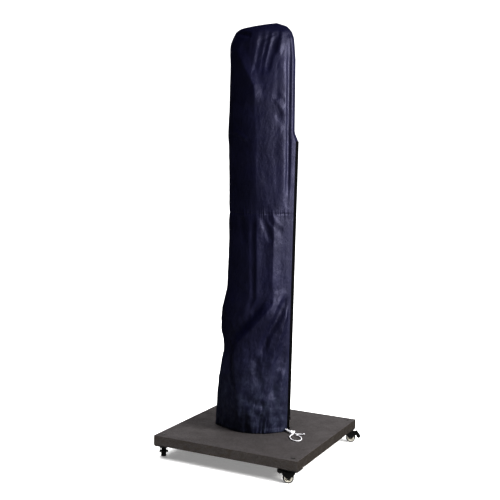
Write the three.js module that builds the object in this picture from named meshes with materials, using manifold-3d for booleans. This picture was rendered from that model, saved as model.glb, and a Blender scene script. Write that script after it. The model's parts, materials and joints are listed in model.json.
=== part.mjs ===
// A folded side-pole patio umbrella under its zipped fabric cover, on a wheeled stone base.
// Millimetres, +Z up. The origin is on the floor, under the middle of the square base slab.
// The umbrella stands turned about Z on its base: its own frame has X along the umbrella's width,
// Y towards its back and Z up, and shares the origin.
import * as THREE from "three";
import { mergeVertices } from "three/addons/utils/BufferGeometryUtils.js";
import Module from "manifold-3d";

const wasm = await Module();
wasm.setup();

// ---------------------------------------------------------------- driving dimensions
const GAP = 0.3; // between pieces that touch
const SLAB = { side: 900, thick: 56, edge: 2, corner: 4 };
const CASTER = { height: 79, out: 408, wheelR: 29, treadW: 28, trail: 25, plate: 82, plateThick: 5 };
const CASTER_BOLT = { r: 4.9, headR: 11, seatDeep: 5, domeUp: 2.5 };
const SLAB_BOTTOM = CASTER.height;
const SLAB_TOP = SLAB_BOTTOM + SLAB.thick;
const UMBRELLA_TURN = THREE.MathUtils.degToRad(26.8);

const FOOT = {
  flangeR: 118,
  flangeThick: 8,
  seatDeep: 2, // the flange stands this deep in the slab
  boltCircleR: 98,
  pinR: 12,
  tableR: 112,
  tableThick: 8,
};
const BEARING = { innerR: 60, outerR: 76, thick: 2 };
const MAST = { x: 60, wide: 76, deep: 56, wall: 3, corner: 14, top: 2428 };
const CAP = { rim: 14, dome: 27 };
const SOCKET = { wall: 8, height: 150 };
const SLIDER = { bottom: 880, height: 130, wall: 11 };
const BOOM = { x: -8, wide: 30, deep: 38, wall: 2.5, corner: 8, top: 2392, pinR: 5, pinZ: 930 };
const CRANK_Z = 1205;
const POLE = { x: -98, r: 15, bottom: 905, top: 2425 };
const RIB = { length: 1505, wide: 8, thick: 5, circleR: 24, hubTop: 2350, hubThick: 26 };
const CANOPY = { innerR: 33, bottomR: 70, bottom: 868, topR: 40 };
const STAY = { topZ: 2345, lowZ: 1760, wide: 22, thick: 4, pinR: 4 };

const COVER = { bottom: SLAB_TOP + 4, wall: 4, shoulder: 2300, pointsRound: 32 };
const ZIP = {
  x: 173,
  y: -62,
  faceTurn: THREE.MathUtils.degToRad(-32),
  lean: 13 / 1700,
  length: 1690,
  faceHalf: 17,
  sliderAt: 62,
};
const TAPE = { wide: 30, thick: 1.6, teethWide: 6, teethThick: 3.4 };
const CORD = { r: 3.1, knotR: 6 };
const LOCK = {
  x: 191,
  y: -119,
  turn: THREE.MathUtils.degToRad(-49),
  long: 26,
  deep: 17,
  high: 16,
  boreR: 3.6,
  boreOff: 5,
};

// ---------------------------------------------------------------- materials
const paint = (colour, roughness, metalness = 0) =>
  new THREE.MeshStandardMaterial({ color: colour, roughness, metalness });
const MATERIAL = {
  stone: paint(0x565354, 0.92),
  steel: paint(0x1a1a1c, 0.5, 0.6),
  bright: paint(0xc9c9cb, 0.3, 1),
  tread: paint(0x161618, 0.8),
  nylon: paint(0xb9b6ae, 0.5),
  plastic: paint(0x101012, 0.55),
  alloy: paint(0x3a3c40, 0.4, 0.8),
  canopy: paint(0xb9ad96, 0.9),
  cover: paint(0x14172e, 0.75),
  zip: paint(0x08080b, 0.6),
  cord: paint(0xe9e8ee, 0.8),
};

// ---------------------------------------------------------------- helpers
function solidOf(geometry) {
  const bare = geometry.clone();
  bare.deleteAttribute("normal");
  bare.deleteAttribute("uv");
  const merged = mergeVertices(bare, 1e-4);
  const made = new wasm.Manifold(
    new wasm.Mesh({
      numProp: 3,
      vertProperties: merged.attributes.position.array,
      triVerts: new Uint32Array(merged.index.array),
    }),
  );
  return made;
}

function geometryOf(solid) {
  const mesh = solid.getMesh();
  return new THREE.BufferGeometry()
    .setAttribute("position", new THREE.BufferAttribute(mesh.vertProperties.slice(), 3))
    .setIndex(new THREE.BufferAttribute(mesh.triVerts.slice(), 1));
}

const joined = (...geometries) => geometryOf(geometries.map(solidOf).reduce((a, b) => a.add(b)));
const cut = (body, ...tools) =>
  geometryOf(tools.map(solidOf).reduce((a, b) => a.subtract(b), solidOf(body)));
const LONG = 3000; // longer than anything that it cuts

// A closed body turned about Z from [radius, height] pairs that run up the outside.
function turned(profile, segments = 20) {
  const points = profile.map(([r, z]) => new THREE.Vector2(r, z));
  return new THREE.LatheGeometry(points, segments).rotateX(Math.PI / 2);
}

// The same about Y, for wheels and cross pins.
const turnedAcross = (profile, segments) => turned(profile, segments).rotateX(-Math.PI / 2);

const rod = (r, z0, z1, segments = 16) =>
  turned([[0, z0], [r, z0], [r, z1], [0, z1]], segments);
const rodAcross = (r, y0, y1, segments = 16) => rod(r, y0, y1, segments).rotateX(-Math.PI / 2);
const rodAlongX = (r, x0, x1, segments = 16) => rod(r, x0, x1, segments).rotateY(Math.PI / 2);

function box(x0, x1, y0, y1, z0, z1) {
  const block = new THREE.BoxGeometry(x1 - x0, y1 - y0, z1 - z0);
  return block.translate((x0 + x1) / 2, (y0 + y1) / 2, (z0 + z1) / 2);
}

function outline(points) {
  return new THREE.Shape(points.map(([x, y]) => new THREE.Vector2(x, y)));
}

// A rectangle with round corners, as a path about its own middle.
function roundedRectangle(wide, deep, r, Kind = THREE.Shape) {
  const path = new Kind();
  const [a, b] = [wide / 2 - r, deep / 2 - r];
  path.absarc(a, b, r, 0, Math.PI / 2);
  path.absarc(-a, b, r, Math.PI / 2, Math.PI);
  path.absarc(-a, -b, r, Math.PI, Math.PI * 1.5);
  path.absarc(a, -b, r, Math.PI * 1.5, Math.PI * 2);
  return path;
}

// A shape drawn in X, Y, raised from z0 to z1.
function raised(shape, z0, z1, curveSegments = 3) {
  const settings = { depth: z1 - z0, bevelEnabled: false, curveSegments };
  return new THREE.ExtrudeGeometry(shape, settings).translate(0, 0, z0);
}

// A side view drawn in X, Z, as thick as y0 to y1.
function sidePlate(shape, y0, y1, curveSegments = 6) {
  return raised(shape, -y1, -y0, curveSegments).rotateX(Math.PI / 2);
}

function tube(wide, deep, wall, corner, z0, z1) {
  const shape = roundedRectangle(wide, deep, corner);
  const innerCorner = Math.max(corner - wall, 1);
  shape.holes.push(roundedRectangle(wide - 2 * wall, deep - 2 * wall, innerCorner, THREE.Path));
  return raised(shape, z0, z1);
}

function put(parent, name, geometry, material) {
  const mesh = new THREE.Mesh(geometry, material);
  mesh.name = name;
  parent.add(mesh);
  return mesh;
}

const umbrella = new THREE.Group();
umbrella.rotation.z = UMBRELLA_TURN;
const model = new THREE.Group();
model.add(umbrella);

// ---------------------------------------------------------------- stone base
const FOOT_SEAT = SLAB_TOP - FOOT.seatDeep;
const CASTER_BOLT_SEAT = SLAB_TOP - CASTER_BOLT.seatDeep;
const footBoltAngles = [45, 135, 225, 315].map(THREE.MathUtils.degToRad);
const footBoltAt = (angle) => [FOOT.boltCircleR * Math.cos(angle), FOOT.boltCircleR * Math.sin(angle), 0];

function slab() {
  const side = SLAB.side - 2 * SLAB.edge;
  const blank = new THREE.ExtrudeGeometry(roundedRectangle(side, side, SLAB.corner - SLAB.edge), {
    depth: SLAB.thick - 2 * SLAB.edge,
    bevelThickness: SLAB.edge,
    bevelSize: SLAB.edge,
    bevelSegments: 2,
    curveSegments: 2,
  }).translate(0, 0, SLAB_BOTTOM + SLAB.edge);
  const holes = [
    rod(FOOT.pinR + 1, SLAB_BOTTOM + 16, SLAB_TOP + 1),
    rod(FOOT.flangeR + 0.6, FOOT_SEAT, SLAB_TOP + 1, 32),
  ];
  for (const angle of footBoltAngles)
    holes.push(rod(4.4, SLAB_TOP - 40, SLAB_TOP + 1, 10).translate(...footBoltAt(angle)));
  for (const { x, y } of Object.values(CORNERS)) {
    holes.push(rod(5.5, SLAB_BOTTOM - 1, SLAB_TOP + 1, 10).translate(x, y, 0));
    holes.push(rod(CASTER_BOLT.headR + 1.2, CASTER_BOLT_SEAT, SLAB_TOP + 1, 16).translate(x, y, 0));
  }
  put(model, "slab", cut(blank, ...holes), MATERIAL.stone);
}

// ---------------------------------------------------------------- casters
// yaw is the way each wheel trails from its swivel pin, in degrees about Z. Three casters have a brake
// pedal, and pedalUp is how far it stands up from its pressed-down place, in degrees.
const CORNERS = {
  front_left: { x: -CASTER.out, y: -CASTER.out, yaw: 122, braked: false },
  front_right: { x: CASTER.out, y: -CASTER.out, yaw: 204, braked: true, pedalUp: 60 },
  back_right: { x: CASTER.out, y: CASTER.out, yaw: 18, braked: true, pedalUp: 0 },
  back_left: { x: -CASTER.out, y: CASTER.out, yaw: 162, braked: true, pedalUp: 0 },
};
const FORK = { crownR: 23, crownBottom: 61, crownTop: 64, legInner: 17.5, legThick: 3.2, raceTop: 68.5 };
const PEDAL = { pivotX: 51, pivotZ: 55, hubR: 5, pinR: 3, hubHalf: 16.9, pinHalf: 22 };

// Fixed to the slab: top plate, upper race and the riveted swivel pin, in one pressing.
function casterPlate() {
  const top = CASTER.height - GAP;
  const plate = raised(roundedRectangle(CASTER.plate, CASTER.plate, 8), top - CASTER.plateThick, top, 3);
  const race = turned(
    [[0, 57.5], [8, 57.5], [8, 60.5], [5, 60.5], [5, 69], [22, 69], [24, 73], [24, 76], [0, 76]],
    14,
  );
  const stemHole = rod(5.3, 70, CASTER.height, 10);
  return cut(joined(plate, race), stemHole);
}

// Goes through the slab's corner and screws into the plate; its low dome shows in its counterbore.
function casterBolt() {
  const { r, headR, domeUp } = CASTER_BOLT;
  const [under, top] = [CASTER_BOLT_SEAT + GAP, SLAB_TOP + domeUp];
  const dome = [[headR, top - 2], [7, top], [0, top + 0.5]];
  return turned([[0, 71], [r, 71], [r, under], [headR, under], ...dome], 16);
}

function fork(braked) {
  const legOuter = FORK.legInner + FORK.legThick;
  const crown = new THREE.Shape();
  const spread = Math.asin(legOuter / FORK.crownR);
  crown.absarc(0, 0, FORK.crownR, spread, 2 * Math.PI - spread);
  crown.lineTo(38, -legOuter);
  crown.lineTo(38, legOuter);
  const leg = new THREE.Shape();
  leg.moveTo(-8, FORK.crownTop);
  leg.lineTo(-10, 54);
  leg.absarc(CASTER.trail, CASTER.wheelR, 8.5, Math.PI * 1.15, Math.PI * 1.95);
  if (braked) {
    leg.lineTo(56, 47);
    leg.absarc(PEDAL.pivotX, PEDAL.pivotZ, 8, -0.6, Math.PI / 2);
  } else leg.lineTo(38, 50);
  leg.lineTo(38, FORK.crownTop);
  const raceBottom = FORK.crownTop - 1;
  const race = turned(
    [[7, raceBottom], [21, raceBottom], [19, FORK.raceTop], [7, FORK.raceTop], [7, raceBottom]],
    14,
  );
  const body = joined(
    raised(crown, FORK.crownBottom, FORK.crownTop, 4),
    sidePlate(leg, FORK.legInner, legOuter, 3),
    sidePlate(leg, -legOuter, -FORK.legInner, 3),
    race,
  );
  const holes = [
    rod(6, 50, 80, 12),
    rodAcross(3.4, -30, 30, 10).translate(CASTER.trail, 0, CASTER.wheelR),
  ];
  if (braked) holes.push(rodAcross(PEDAL.pinR + 0.4, -30, 30, 10).translate(PEDAL.pivotX, 0, PEDAL.pivotZ));
  return cut(body, ...holes);
}

function tyre() {
  const [inner, outer, half] = [23.4, CASTER.wheelR, CASTER.treadW / 2];
  const profile = [[inner, -half + 2], [outer - 3, -half], [outer, -half + 4]];
  const mirrored = profile.map(([r, y]) => [r, -y]).reverse();
  return turnedAcross([...profile, ...mirrored, profile[0]], 24).translate(CASTER.trail, 0, CASTER.wheelR);
}

function wheelCore() {
  const half = [[3.7, -16.9], [7.5, -16.9], [8.5, -5], [16.5, -5], [17.5, -12.6], [23, -12.6]];
  const mirrored = half.map(([r, y]) => [r, -y]).reverse();
  return turnedAcross([...half, ...mirrored, half[0]], 16).translate(CASTER.trail, 0, CASTER.wheelR);
}

function axle() {
  const head = FORK.legInner + FORK.legThick + GAP;
  const bolt = rodAcross(3, -head - 1, head + 1, 10);
  const hexHead = rodAcross(6, head, head + 3.6, 6);
  const nut = rodAcross(5.6, -head - 4.4, -head, 6);
  return joined(bolt, hexHead, nut).translate(CASTER.trail, 0, CASTER.wheelR);
}

// Drawn about the corner's swivel pin, with its tread pressed down.
function brakePedal() {
  const { pivotX, pivotZ, hubR, pinR, hubHalf, pinHalf } = PEDAL;
  const treadHalf = 20.5;
  const tread = outline([[53, 66], [60, 70], [84, 38], [77, 30], [63, 36], [58, 48]]);
  const web = outline([[48, 57], [53, 66], [60, 62], [58, 52], [52, 51]]);
  const earRoom = box(40, 61.5, hubHalf, treadHalf + 1, 40, 72);
  const otherEarRoom = box(40, 61.5, -treadHalf - 1, -hubHalf, 40, 72);
  const body = cut(sidePlate(tread, -treadHalf, treadHalf), earRoom, otherEarRoom);
  const hub = rodAcross(hubR, -hubHalf, hubHalf, 16).translate(pivotX, 0, pivotZ);
  const pin = rodAcross(pinR, -pinHalf, pinHalf, 12).translate(pivotX, 0, pivotZ);
  return joined(body, hub, sidePlate(web, -hubHalf, hubHalf), pin);
}

function casters() {
  for (const [corner, { x, y, yaw, braked, pedalUp }] of Object.entries(CORNERS)) {
    const place = new THREE.Group();
    place.position.set(x, y, 0);
    place.rotation.z = THREE.MathUtils.degToRad(yaw);
    model.add(place);
    put(model, "caster_bolt_" + corner, casterBolt(), MATERIAL.steel).position.set(x, y, 0);
    put(model, "caster_plate_" + corner, casterPlate(), MATERIAL.steel).position.set(x, y, 0);
    put(place, "caster_fork_" + corner, fork(braked), MATERIAL.steel);
    put(place, "caster_tyre_" + corner, tyre(), MATERIAL.tread);
    put(place, "caster_core_" + corner, wheelCore(), MATERIAL.nylon);
    put(place, "caster_axle_" + corner, axle(), MATERIAL.bright);
    if (!braked) continue;
    const { pivotX, pivotZ } = PEDAL;
    const aboutPivot = brakePedal().translate(-pivotX, 0, -pivotZ);
    const pedal = put(place, "brake_pedal_" + corner, aboutPivot, MATERIAL.plastic);
    pedal.position.set(pivotX, 0, pivotZ);
    pedal.rotation.y = -THREE.MathUtils.degToRad(pedalUp);
  }
}

// ---------------------------------------------------------------- swivel foot
const FLANGE_TOP = FOOT_SEAT + GAP + FOOT.flangeThick;
const TABLE_BOTTOM = FLANGE_TOP + BEARING.thick + 2 * GAP;
const TABLE_TOP = TABLE_BOTTOM + FOOT.tableThick;
const TURN_PEDAL = { x: -88, z: TABLE_TOP + 7 };

function swivelFoot() {
  const flange = rod(FOOT.flangeR, FOOT_SEAT + GAP, FLANGE_TOP, 32);
  const holes = [rod(FOOT.pinR + 0.6, 0, LONG)];
  for (const angle of footBoltAngles) {
    holes.push(rod(4.4, 0, LONG, 10).translate(...footBoltAt(angle)));
    holes.push(rod(8.5, FLANGE_TOP - 4, LONG, 12).translate(...footBoltAt(angle)));
  }
  put(model, "foot_flange", cut(flange, ...holes), MATERIAL.steel);

  footBoltAngles.forEach((angle, i) => {
    const [under, top] = [FLANGE_TOP - 4 + GAP, FLANGE_TOP - GAP];
    const end = SLAB_TOP - 38;
    const bolt = turned([[0, end], [4, end], [4, under], [8, under], [8, top], [0, top]], 10);
    put(model, "foot_bolt_" + (i + 1), bolt, MATERIAL.bright).position.set(...footBoltAt(angle));
  });

  const [low, high] = [FLANGE_TOP + GAP, FLANGE_TOP + GAP + BEARING.thick];
  const { innerR, outerR } = BEARING;
  const ring = turned([[innerR, low], [outerR, low], [outerR, high], [innerR, high], [innerR, low]], 24);
  put(model, "swivel_bearing", ring, MATERIAL.nylon);

  const { pinR, tableR } = FOOT;
  const pinEnd = SLAB_BOTTOM + 20;
  const disc = [[pinR, TABLE_BOTTOM], [tableR, TABLE_BOTTOM], [tableR, TABLE_TOP], [0, TABLE_TOP]];
  const table = turned([[0, pinEnd], [pinR, pinEnd], ...disc], 32);
  const [earLeft, earRight, earTop] = [TURN_PEDAL.x - 8, TURN_PEDAL.x + 8, TURN_PEDAL.z + 7];
  const ear = (y0, y1) => box(earLeft, earRight, y0, y1, TABLE_TOP - 1, earTop);
  const pinHole = rodAcross(3.4, -30, 30, 12).translate(TURN_PEDAL.x, 0, TURN_PEDAL.z);
  put(umbrella, "turntable", cut(joined(table, ear(17, 21), ear(-21, -17)), pinHole), MATERIAL.steel);

  const tread = box(TURN_PEDAL.x - 62, TURN_PEDAL.x - 9, -25, 25, TURN_PEDAL.z + 1, TURN_PEDAL.z + 6);
  const neck = box(TURN_PEDAL.x - 12, TURN_PEDAL.x, -16, 16, TURN_PEDAL.z - 1, TURN_PEDAL.z + 5);
  const hub = rodAcross(5.5, -16, 16).translate(TURN_PEDAL.x, 0, TURN_PEDAL.z);
  const pin = rodAcross(3, -23, 23, 12).translate(TURN_PEDAL.x, 0, TURN_PEDAL.z);
  put(umbrella, "turn_pedal", joined(tread, neck, hub, pin), MATERIAL.plastic);
}

// ---------------------------------------------------------------- folded umbrella
const crossHole = (r, x, z) => rodAcross(r, -60, 60, 12).translate(x, 0, z);

function mastAndSlider() {
  const clear = 0.6;
  const [sw, sd] = [MAST.wide + 2 * (SOCKET.wall + clear), MAST.deep + 2 * (SOCKET.wall + clear)];
  const base = TABLE_TOP + GAP;
  const socket = tube(sw, sd, SOCKET.wall, MAST.corner + SOCKET.wall, base, base + SOCKET.height);
  put(umbrella, "mast_socket", socket.translate(MAST.x, 0, 0), MATERIAL.steel);

  const mast = tube(MAST.wide, MAST.deep, MAST.wall, MAST.corner, base + GAP, MAST.top);
  const stayPinHole = crossHole(STAY.pinR + 0.4, 0, STAY.topZ);
  put(umbrella, "mast", cut(mast, stayPinHole).translate(MAST.x, 0, 0), MATERIAL.alloy);

  const rim = roundedRectangle(MAST.wide + 4, MAST.deep + 4, MAST.corner + 2);
  const cap = raised(rim, MAST.top + GAP, MAST.top + CAP.rim);
  const dome = turned([[0, -0.1], [1, -0.1], [0.92, 0.4], [0.7, 0.72], [0.38, 0.93], [0, 1]], 16)
    .scale(MAST.wide / 2, MAST.deep / 2, CAP.dome)
    .translate(0, 0, MAST.top + CAP.rim);
  put(umbrella, "mast_cap", joined(cap, dome).translate(MAST.x, 0, 0), MATERIAL.plastic);

  const [ow, od] = [MAST.wide + 2 * (SLIDER.wall + clear), MAST.deep + 2 * (SLIDER.wall + clear)];
  const { bottom, height, wall } = SLIDER;
  const sleeve = tube(ow, od, wall, MAST.corner + wall, bottom, bottom + height).translate(MAST.x, 0, 0);
  const [earLeft, earRight] = [BOOM.x - 14, MAST.x - ow / 2 + 3];
  const ear = (y0, y1) => box(earLeft, earRight, y0, y1, bottom + 20, bottom + 75);
  const [earIn, earOut] = [BOOM.deep / 2 + 1.5, BOOM.deep / 2 + 8.5];
  const body = joined(sleeve, ear(earIn, earOut), ear(-earOut, -earIn));
  put(umbrella, "slider", cut(body, crossHole(BOOM.pinR + 0.4, BOOM.x, BOOM.pinZ)), MATERIAL.plastic);
  const pin = rodAcross(BOOM.pinR, -earOut - 4, earOut + 4, 12).translate(BOOM.x, 0, BOOM.pinZ);
  put(umbrella, "boom_pin", pin, MATERIAL.bright);
}

function crank() {
  const z = CRANK_Z;
  const [x0, x1] = [MAST.x + MAST.wide / 2 + GAP, MAST.x + MAST.wide / 2 + 16];
  const housing = box(x0, x1, -24, 24, z - 55, z + 45);
  const shaftHole = rodAlongX(6.4, x0 + 6, x1 + 1, 12).translate(0, 0, z);
  put(umbrella, "crank_housing", cut(housing, shaftHole), MATERIAL.plastic);
  const shaft = rodAlongX(6, x0 + 7, x1 + 8, 12).translate(0, 0, z);
  const arm = box(x1 + 2, x1 + 8, -8, 8, z - 52, z + 9);
  const knob = rodAlongX(8, x1 + 6, x1 + 26, 14).translate(0, 0, z - 44);
  put(umbrella, "crank_handle", joined(shaft, arm, knob), MATERIAL.plastic);
}

function boomAndStays() {
  const bottom = SLIDER.bottom + 32;
  const bar = tube(BOOM.wide, BOOM.deep, BOOM.wall, BOOM.corner, bottom, BOOM.top);
  const holes = [crossHole(BOOM.pinR + 0.4, 0, BOOM.pinZ), crossHole(STAY.pinR + 0.4, 0, STAY.lowZ)];
  put(umbrella, "boom", cut(bar, ...holes).translate(BOOM.x, 0, 0), MATERIAL.alloy);

  const [dx, dz] = [MAST.x - BOOM.x, STAY.topZ - STAY.lowZ];
  const reach = Math.hypot(dx, dz);
  const strip = new THREE.Shape();
  strip.absarc(0, 0, STAY.wide / 2, Math.PI, Math.PI * 2);
  strip.absarc(0, reach, STAY.wide / 2, 0, Math.PI);
  const inner = MAST.deep / 2 + 3;
  const stayHoles = [0, reach].map((z) => crossHole(STAY.pinR + 0.4, 0, z));
  for (const [name, y0] of [["stay_front", -inner - STAY.thick], ["stay_back", inner]]) {
    const flat = sidePlate(strip, y0, y0 + STAY.thick);
    const stay = put(umbrella, name, cut(flat, ...stayHoles), MATERIAL.alloy);
    stay.position.set(BOOM.x, 0, STAY.lowZ);
    stay.rotation.y = Math.atan2(dx, dz);
  }
  const pinHalf = inner + STAY.thick + 3;
  const pin = rodAcross(STAY.pinR, -pinHalf, pinHalf, 12);
  put(umbrella, "stay_low_pin", pin.clone().translate(BOOM.x, 0, STAY.lowZ), MATERIAL.bright);
  put(umbrella, "stay_top_pin", pin.clone().translate(MAST.x, 0, STAY.topZ), MATERIAL.bright);

  const [z0, z1] = [BOOM.top + GAP, POLE.top + 13];
  const elbow = box(POLE.x - 22, BOOM.x + BOOM.wide / 2, -18, 18, z0, z1);
  const poleHole = rod(POLE.r + 0.5, z0 - 1, POLE.top + GAP, 20).translate(POLE.x, 0, 0);
  put(umbrella, "boom_head", cut(elbow, poleHole), MATERIAL.plastic);
}

function foldedCanopy() {
  const pole = rod(POLE.r, POLE.bottom, POLE.top, 20).translate(POLE.x, 0, 0);
  put(umbrella, "canopy_pole", pole, MATERIAL.alloy);

  const { circleR, thick, wide, hubTop, hubThick, length } = RIB;
  const parts = [rod(circleR + 8, hubTop - hubThick, hubTop, 24)];
  for (let i = 0; i < 8; i++) {
    const [x0, x1, z0, z1] = [circleR - thick / 2, circleR + thick / 2, hubTop - length, hubTop - 5];
    parts.push(box(x0, x1, -wide / 2, wide / 2, z0, z1).rotateZ((i * Math.PI) / 4));
  }
  const ribs = cut(joined(...parts), rod(POLE.r + 0.5, 0, LONG, 20)).translate(POLE.x, 0, 0);
  put(umbrella, "rib_set", ribs, MATERIAL.alloy);

  const top = RIB.hubTop - RIB.hubThick - GAP;
  const { innerR, bottomR, bottom, topR } = CANOPY;
  const span = top - bottom;
  const slimming = [0.02, 0.3, 0.6, 0.85];
  const outside = slimming.map((t) => [bottomR - (bottomR - topR) * t ** 1.6, bottom + span * t]);
  const inside = [[innerR, top], [innerR, bottom]];
  const profile = [[innerR, bottom], [bottomR - 8, bottom], ...outside, [topR, top], ...inside];
  put(umbrella, "canopy", turned(profile, 20).translate(POLE.x, 0, 0), MATERIAL.canopy);
}

// ---------------------------------------------------------------- fabric cover
// Each row: height, left edge, right edge, front bulge, back bulge, all in the umbrella's frame.
// Up to the zip's top end, the zip's own line sets the right edge.
const BY_ZIP = 0;
const LEVELS = [
  [COVER.bottom, -262, BY_ZIP, -132, 150],
  [320, -253, BY_ZIP, -130, 146],
  [460, -241, BY_ZIP, -128, 140],
  [560, -224, BY_ZIP, -126, 136],
  [620, -214, BY_ZIP, -124, 133],
  [700, -224, BY_ZIP, -124, 131],
  [830, -226, BY_ZIP, -124, 129],
  [900, -219, BY_ZIP, -123, 128],
  [965, -201, BY_ZIP, -121, 127],
  [1380, -194, BY_ZIP, -119, 126],
  [1825, -208, BY_ZIP, -118, 125],
  [1880, -210, 174, -118, 124],
  [2290, -204, 170, -113, 118],
  [2375, -203, 163, -108, 112],
  [2409, -192, 160, -103, 106],
  [2443, -176, 150, -94, 97],
  [2462, -150, 137, -82, 85],
  [2480, -60, 121, -60, 64],
];
const PEAK = { x: 56, z: 2502 };
const FRONT_AT_ZIP_TOP = -118;
const DRAWN_IN = { top: 540, tall: 380 };
const zipX = (z) => ZIP.x + (z - COVER.bottom) * ZIP.lean;

// One level's outline: a flat strip for the zip at its front right, then round the back to the left.
// Near the hem the front left is drawn in and the left side falls back.
function coverOutline([z, left, right, front, back]) {
  const drawnIn = THREE.MathUtils.clamp((DRAWN_IN.top - z) / DRAWN_IN.tall, 0, 1);
  const ease = (full, tight) => THREE.MathUtils.lerp(full, tight, drawnIn);
  const zipped = right === BY_ZIP;
  const slimmer = zipped ? 1 : Math.min(front / FRONT_AT_ZIP_TOP, 1);
  const cx = zipped ? zipX(z) : right - 10;
  const cy = ZIP.y * slimmer;
  const half = ZIP.faceHalf * slimmer * (zipped ? 1 : 0.8);
  const [tx, ty] = [-Math.sin(ZIP.faceTurn) * half, Math.cos(ZIP.faceTurn) * half];
  const edge = cx + tx;
  const through = [
    [cx + tx, cy + ty],
    [edge * 0.94, back * 0.45],
    [edge * 0.62, back * 0.9],
    [left * 0.05, back],
    [left * 0.62, back * ease(0.88, 0.95)],
    [left * ease(0.93, 0.95), back * ease(0.42, 0.7)],
    [left, back * ease(-0.05, 0.4)],
    [left * ease(0.82, 0.64), front * ease(0.62, 0.48)],
    [left * ease(0.48, 0.4), front * ease(0.93, 0.81)],
    [left * 0.05, front],
    [edge * 0.45, front * 0.92],
    [cx - tx, cy - ty],
  ].map(([x, y]) => new THREE.Vector3(x, y, z));
  const curve = new THREE.CatmullRomCurve3(through, false, "centripetal");
  return curve.getSpacedPoints(COVER.pointsRound - 2);
}

// Moves each point of a ring inwards along the ring's own normal.
function inset(ring, distance) {
  return ring.map((p, i) => {
    const before = ring[(i + ring.length - 1) % ring.length];
    const after = ring[(i + 1) % ring.length];
    const along = new THREE.Vector3().subVectors(after, before).normalize();
    return new THREE.Vector3(p.x - along.y * distance, p.y + along.x * distance, p.z);
  });
}

// A thin bag: rings run up the outside to a peak, and the inside runs back down to an open hem.
function bag(outer, inner, peakOut, peakIn) {
  const n = outer[0].length;
  const position = [];
  const index = [];
  for (const ring of [...outer, ...inner]) for (const p of ring) position.push(p.x, p.y, p.z);
  const tops = [peakOut, peakIn].map((p) => position.push(p.x, p.y, p.z) / 3 - 1);
  const wall = (a, b, outside) => {
    for (let i = 0; i < n; i++) {
      const [p, q, r, s] = [a * n + i, a * n + ((i + 1) % n), b * n + ((i + 1) % n), b * n + i];
      index.push(...(outside ? [p, q, r, p, r, s] : [p, r, q, p, s, r]));
    }
  };
  const levels = outer.length;
  for (let k = 0; k + 1 < levels; k++) {
    wall(k, k + 1, true);
    wall(levels + k, levels + k + 1, false);
  }
  wall(0, levels, false);
  for (let i = 0; i < n; i++) {
    const j = (i + 1) % n;
    index.push((levels - 1) * n + i, (levels - 1) * n + j, tops[0]);
    index.push((2 * levels - 1) * n + j, (2 * levels - 1) * n + i, tops[1]);
  }
  const geometry = new THREE.BufferGeometry();
  geometry.setAttribute("position", new THREE.Float32BufferAttribute(position, 3));
  return geometry.setIndex(index);
}

function cover() {
  const outer = LEVELS.map(coverOutline);
  const inner = outer.map((ring) => {
    const drop = ring[0].z > COVER.shoulder ? COVER.wall : 0;
    return inset(ring, COVER.wall).map((p) => new THREE.Vector3(p.x, p.y, p.z - drop));
  });
  const peak = new THREE.Vector3(PEAK.x, 0, PEAK.z);
  const peakIn = new THREE.Vector3(PEAK.x, 0, PEAK.z - COVER.wall - 2);
  put(umbrella, "cover", bag(outer, inner, peak, peakIn), MATERIAL.cover);
}

// ---------------------------------------------------------------- zip
// In the zip's own frame X points out of the cover and Z runs up the zip from the hem.
function zip() {
  const place = new THREE.Group();
  place.position.set(ZIP.x, ZIP.y, COVER.bottom);
  place.rotation.set(0, Math.atan(ZIP.lean), ZIP.faceTurn, "YZX");
  umbrella.add(place);
  const [base, half] = [0.5, TAPE.wide / 2];
  const tape = box(base, base + TAPE.thick, -half, half, 4, ZIP.length);
  const teethHalf = TAPE.teethWide / 2;
  const teeth = box(base + 1, base + TAPE.teethThick, -teethHalf, teethHalf, 10, ZIP.length - 8);
  const stop = box(base + 1, base + TAPE.teethThick + 1, -6, 6, ZIP.sliderAt - 17, ZIP.sliderAt - 2);
  put(place, "zipper_tape", joined(tape, teeth, stop), MATERIAL.zip);

  const clear = 0.5;
  const inner = teethHalf + clear;
  const [under, roof] = [base + TAPE.thick + clear, base + TAPE.teethThick + clear];
  const outside = [[under, -7], [roof + 3, -6], [roof + 3, 6], [under, 7]];
  const groove = [[under, inner], [roof, inner], [roof, -inner], [under, -inner]];
  const body = raised(outline([...outside, ...groove]), 0, 24);
  const bridgeTop = roof + 7.2;
  const bridge = [[2, 5, roof + 2.5], [16, 19, roof + 2.5], [2, 19, roof + 5.4]].map(([z0, z1, x0]) =>
    box(x0, bridgeTop, -3, 3, z0, z1),
  );
  put(place, "zipper_slider", joined(body, ...bridge).translate(0, 0, ZIP.sliderAt), MATERIAL.steel);

  const plate = outline([[-4.5, -52], [4.5, -52], [6, -10], [6, 0.8], [-6, 0.8], [-6, -10]]);
  const bail = box(-3.8, 3.8, -9.5, -0.8, -4, 4);
  const tab = cut(raised(plate, -0.7, 0.7), bail).rotateX(Math.PI / 2).rotateZ(Math.PI / 2);
  put(place, "zipper_pull", tab.translate(roof + 4.2, 0, ZIP.sliderAt + 10.5), MATERIAL.bright);
}

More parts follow.
